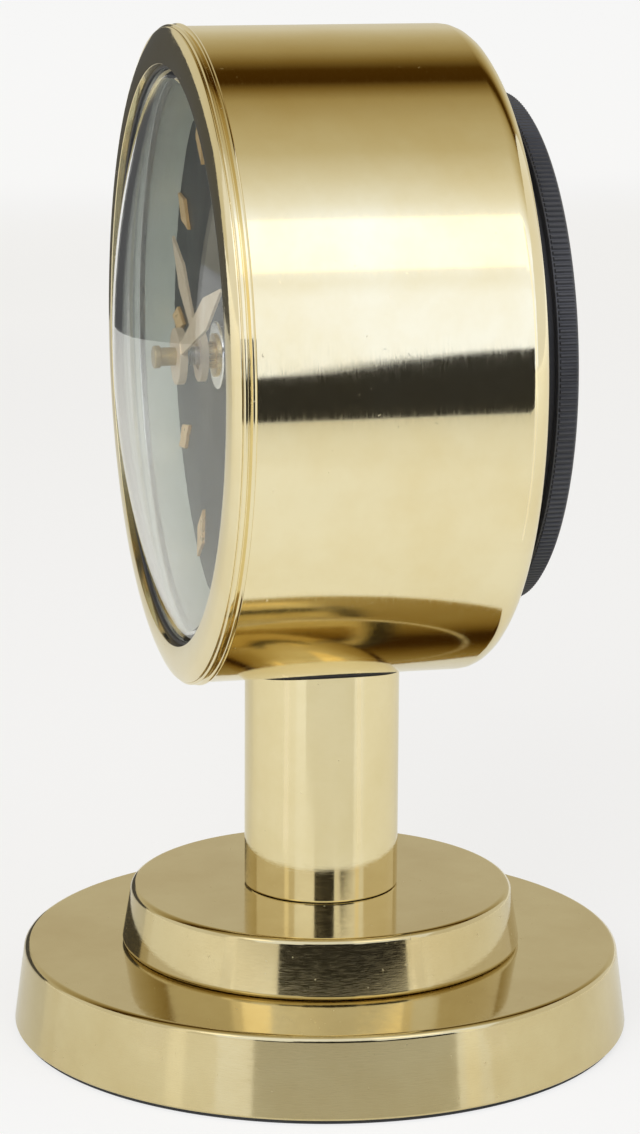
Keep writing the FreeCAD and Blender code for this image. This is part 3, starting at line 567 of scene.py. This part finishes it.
def date_numbers():
    """Plain numbers 1 to 31, with 17 in the window."""
    count = 31
    shown = 17
    reach = 42.6 * MM
    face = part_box("date_ring")[0][1] - 0.03 * MM
    digits = [date_number((shown - 1 + step) % count + 1, 2 * math.pi * step / count, reach, face)
              for step in range(count)]
    bpy.context.view_layer.update()
    joined = bmesh.new()
    for made in digits:
        flat = bpy.data.meshes.new_from_object(made)
        flat.transform(made.matrix_world)
        joined.from_mesh(flat)
        bpy.data.objects.remove(made)
    mesh = bpy.data.meshes.new("date_numbers")
    joined.to_mesh(mesh)
    joined.free()
    mesh.materials.append(ink)
    numbers = bpy.data.objects.new("date_numbers", mesh)
    bpy.context.scene.collection.objects.link(numbers)
    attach(numbers, "calendar_ring")


def eased_edges(name, width):
    """Bevel on a CAD piece, so that its edges catch the light."""
    bevel = frame["nodes"][name].modifiers.new("edge", "BEVEL")
    bevel.width = width * MM
    bevel.segments = 2
    bevel.limit_method = "ANGLE"
    bevel.angle_limit = math.radians(40)


base()
column()
drum()
bezel()
glass()
glass_rings()
dial_centre()
rear_cap()
date_numbers()
for name, width in (("hour_hand", 0.15), ("minute_hand", 0.15), ("hour_markers", 0.2),
                    ("date_window_frame", 0.15), ("battery_tray", 0.2), ("case_screws", 0.2)):
    eased_edges(name, width)


# Floor
def floor():
    """Pale floor, a little shiny in reflections and nearly white to the camera, with the clock's shadow."""
    half = 6.0
    level = -0.05 * MM
    mesh = bpy.data.meshes.new("floor")
    corners = [(-half, -half, level), (half, -half, level), (half, half, level), (-half, half, level)]
    mesh.from_pydata(corners, [], [(0, 1, 2, 3)])
    material, shader = new_material("floor_pale")
    shader.inputs["Base Color"].default_value = (0.70, 0.71, 0.67, 1.0)
    shader.inputs["Emission Color"].default_value = (1.0, 1.0, 1.0, 1.0)
    shader.inputs["Emission Strength"].default_value = 0.26
    shader.inputs["Roughness"].default_value = 0.08
    shader.inputs["IOR"].default_value = 1.2
    plain = node(material, "ShaderNodeBsdfDiffuse", Color=(0.86, 0.855, 0.84, 1.0))
    white = node(material, "ShaderNodeEmission", Color=(1.0, 1.0, 1.0, 1.0))
    white_share = 0.7
    seen = node(material, "ShaderNodeMixShader", Fac=white_share)
    link(material, plain.outputs[0], seen.inputs[1])
    link(material, white.outputs[0], seen.inputs[2])
    ray = node(material, "ShaderNodeLightPath")
    mix = node(material, "ShaderNodeMixShader")
    link(material, ray.outputs["Is Camera Ray"], mix.inputs["Fac"])
    link(material, shader.outputs[0], mix.inputs[1])
    link(material, seen.outputs[0], mix.inputs[2])
    link(material, mix.outputs[0], material.node_tree.nodes["Material Output"].inputs["Surface"])
    mesh.materials.append(material)
    made = bpy.data.objects.new("floor", mesh)
    bpy.context.scene.collection.objects.link(made)


# Studio sheets, which stand in for the room that the brass and the glass mirror
def glow_material(name, brightness):
    """Sheet that glows evenly."""
    material = bpy.data.materials.new(name)
    material.use_nodes = True
    material.node_tree.nodes.clear()
    glow = node(material, "ShaderNodeEmission", Color=(brightness, brightness, brightness, 1.0))
    out = node(material, "ShaderNodeOutputMaterial")
    link(material, glow.outputs[0], out.inputs["Surface"])
    return material


def stage_sheet(name, corners, faces, material):
    """Sheet that the camera doesn't see and that casts no shadow."""
    mesh = bpy.data.meshes.new(name)
    mesh.from_pydata(corners, [], faces)
    mesh.materials.append(material)
    made = bpy.data.objects.new(name, mesh)
    bpy.context.scene.collection.objects.link(made)
    made.visible_camera = False
    made.visible_shadow = False
    return made


def flat_sheet(name, corners, brightness):
    """Evenly glowing sheet with one face."""
    return stage_sheet(name, corners, [tuple(range(len(corners)))], glow_material(name, brightness))


def lamp_tint(level):
    """Colour of the light at one level: cool where it is bright and warm where it is dim."""
    return level, 1.06 * level ** 1.3, 1.22 * level ** 2.2


def sky_glow(stops, brightest):
    """Glow that changes with the angle round the drum's axis, where 0 is level towards +X."""
    material = bpy.data.materials.new("sky_glow")
    material.use_nodes = True
    material.node_tree.nodes.clear()
    place = node(material, "ShaderNodeTexCoord")
    axes = node(material, "ShaderNodeSeparateXYZ")
    link(material, place.outputs["Object"], axes.inputs[0])
    height = node(material, "ShaderNodeMath", operation="ARCTAN2")
    link(material, axes.outputs["Z"], height.inputs[0])
    link(material, axes.outputs["X"], height.inputs[1])
    share = span(material, height.outputs[0], (0.0, math.pi), (0.0, 1.0))
    colours = [(degrees / 180, [part / brightest for part in lamp_tint(level)]) for degrees, level in stops]
    glow = node(material, "ShaderNodeEmission", Strength=brightest)
    link(material, ramp(material, share, colours), glow.inputs["Color"])
    out = node(material, "ShaderNodeOutputMaterial")
    link(material, glow.outputs[0], out.inputs["Surface"])
    return material


def sky():
    """Half tube round the drum's axis: bright on the camera's side, dark past the top and dim beyond."""
    distance = 1.3
    half_width = 1.6
    steps = 90
    corners = []
    for step in range(steps + 1):
        angle = math.pi * step / steps
        for side in (-half_width, half_width):
            corners.append((distance * math.cos(angle), side, distance * math.sin(angle)))
    faces = [(2 * step, 2 * step + 1, 2 * step + 3, 2 * step + 2) for step in range(steps)]
    bright_side = [(5, 1.1), (27, 1.12), (32, 1.05), (45, 1.18), (53, 1.12)]
    fading = [(60, 0.93), (69, 0.76), (80, 0.58), (92, 0.50), (104, 0.38), (110, 0.20)]
    dark_gap = [(114, 0.05), (122, 0.06)]
    far_side = [(128, 0.20), (136, 0.38), (147, 0.50), (162, 0.66)]
    stops = bright_side + fading + dark_gap + far_side
    tube = stage_sheet("sky", corners, faces, sky_glow(stops, brightest=1.7))
    tube.location = (0.0, 0.0, AXIS_Z)


def dim_wall():
    """Dim sheet beyond the clock, low and on the dial's side, that the glass mirrors."""
    far = -0.9
    left, right = -0.82, 0.0
    low, high = -0.05, 0.30
    corners = [(far, left, low), (far, right, low), (far, right, high), (far, left, high)]
    flat_sheet("dim_wall", corners, 0.09)


def dark_board():
    """Dark board between the clock and the camera, tallest where the camera stands and stepped beside it."""
    near = 0.56
    outline = [(-0.42, 0.001), (0.40, 0.001), (0.40, 0.21), (0.17, 0.21), (0.13, 0.185), (0.10, 0.15),
               (0.06, 0.14), (0.06, 0.27), (-0.24, 0.27), (-0.24, 0.14), (-0.42, 0.14)]
    flat_sheet("dark_board", [(near, across, up) for across, up in outline], 0.03)


def lamp_face(name, left, right, low, high, brightness):
    """Bright sheet just inside the sky, between two places along Y and two angles above the drum."""
    distance = 1.2
    corners = []
    for across, degrees in ((left, low), (right, low), (right, high), (left, high)):
        angle = math.radians(degrees)
        corners.append((distance * math.cos(angle), across, AXIS_Z + distance * math.sin(angle)))
    flat_sheet(name, corners, brightness)


def light_strip(name, azimuth, width):
    """Bright strip that runs out over the floor and up, for the upright lines on the column."""
    turn = math.radians(azimuth)
    out = Vector((math.cos(turn), math.sin(turn), 0.0))
    side = Vector((-math.sin(turn), math.cos(turn), 0.0)) * math.tan(math.radians(width / 2))
    near, far, tall = 0.13, 0.9, 1.0
    foot = Vector((0.0, 0.0, 0.001))
    up = Vector((0.0, 0.0, tall))
    path = [(out + side * sign) * reach + foot
            for reach, sign in ((near, -1), (far, -1), (far, 1), (near, 1))]
    low = flat_sheet(name + "_floor", path, 1.0)
    low.visible_diffuse = False
    wall = [(out - side) * far + foot, (out + side) * far + foot,
            (out + side) * far + up, (out - side) * far + up]
    flat_sheet(name + "_wall", wall, 1.2)


# World, lamp and camera
def world():
    """Pale grey light from all sides, which the camera sees as white."""
    scene = bpy.context.scene
    scene.world = bpy.data.worlds.new("studio")
    scene.world.use_nodes = True
    scene.world.node_tree.nodes.clear()
    ray = node(scene.world, "ShaderNodeLightPath")
    white = node(scene.world, "ShaderNodeBackground", Color=(1.0, 1.0, 1.0, 1.0))
    grey = node(scene.world, "ShaderNodeBackground", Color=(0.86, 0.86, 0.85, 1.0))
    mix = node(scene.world, "ShaderNodeMixShader")
    out = node(scene.world, "ShaderNodeOutputWorld")
    link(scene.world, ray.outputs["Is Camera Ray"], mix.inputs["Fac"])
    link(scene.world, grey.outputs[0], mix.inputs[1])
    link(scene.world, white.outputs[0], mix.inputs[2])
    link(scene.world, mix.outputs[0], out.inputs["Surface"])


def lamp(name, place, size, power):
    """Soft square lamp aimed at the drum."""
    light = bpy.data.lights.new(name, "AREA")
    light.shape = "SQUARE"
    light.size = size
    light.energy = power
    made = bpy.data.objects.new(name, light)
    made.location = place
    aim = Vector((0.0, 0.0, AXIS_Z)) - Vector(place)
    made.rotation_euler = aim.to_track_quat("-Z", "Y").to_euler()
    bpy.context.scene.collection.objects.link(made)


def camera():
    """The photo's view, fitted to the outlines of the base, the drum and the bezel."""
    azimuth, elevation, roll = (math.radians(degrees) for degrees in (76.249, 12.459, 0.348))
    distance = 0.68742
    target_height = 0.08859
    target_left = 0.000496
    photo_height = 1134
    focal_pixels = 3661.955
    back = Vector((math.sin(azimuth) * math.cos(elevation), -math.cos(azimuth) * math.cos(elevation),
                   math.sin(elevation)))
    right = Vector((math.cos(azimuth), math.sin(azimuth), 0.0))
    up = back.cross(right)
    target = Vector((0.0, 0.0, target_height)) - right * target_left
    across = right * math.cos(roll) + up * math.sin(roll)
    top = up * math.cos(roll) - right * math.sin(roll)
    view = bpy.data.cameras.new("photo_view")
    view.sensor_width = 36.0
    view.lens = focal_pixels / photo_height * view.sensor_width
    view.clip_start = 0.05
    view.clip_end = 50.0
    made = bpy.data.objects.new("photo_view", view)
    turned = Matrix((across, top, back)).transposed().to_4x4()
    made.matrix_world = Matrix.Translation(target + back * distance) @ turned
    bpy.context.scene.collection.objects.link(made)
    bpy.context.scene.camera = made


floor()
sky()
dim_wall()
dark_board()
lamp_face("lamp_face_right", left=0.15, right=0.75, low=36.0, high=54.0, brightness=1.8)
lamp_face("lamp_face_left", left=-1.6, right=-0.85, low=38.0, high=62.0, brightness=1.8)
light_strip("strip_left", azimuth=-66.0, width=7.0)
light_strip("strip_right", azimuth=42.0, width=6.0)
world()
lamp("key", place=(1.6, -1.0, 1.2), size=1.2, power=18.0)
camera()
bpy.context.scene.view_settings.view_transform = "Standard"
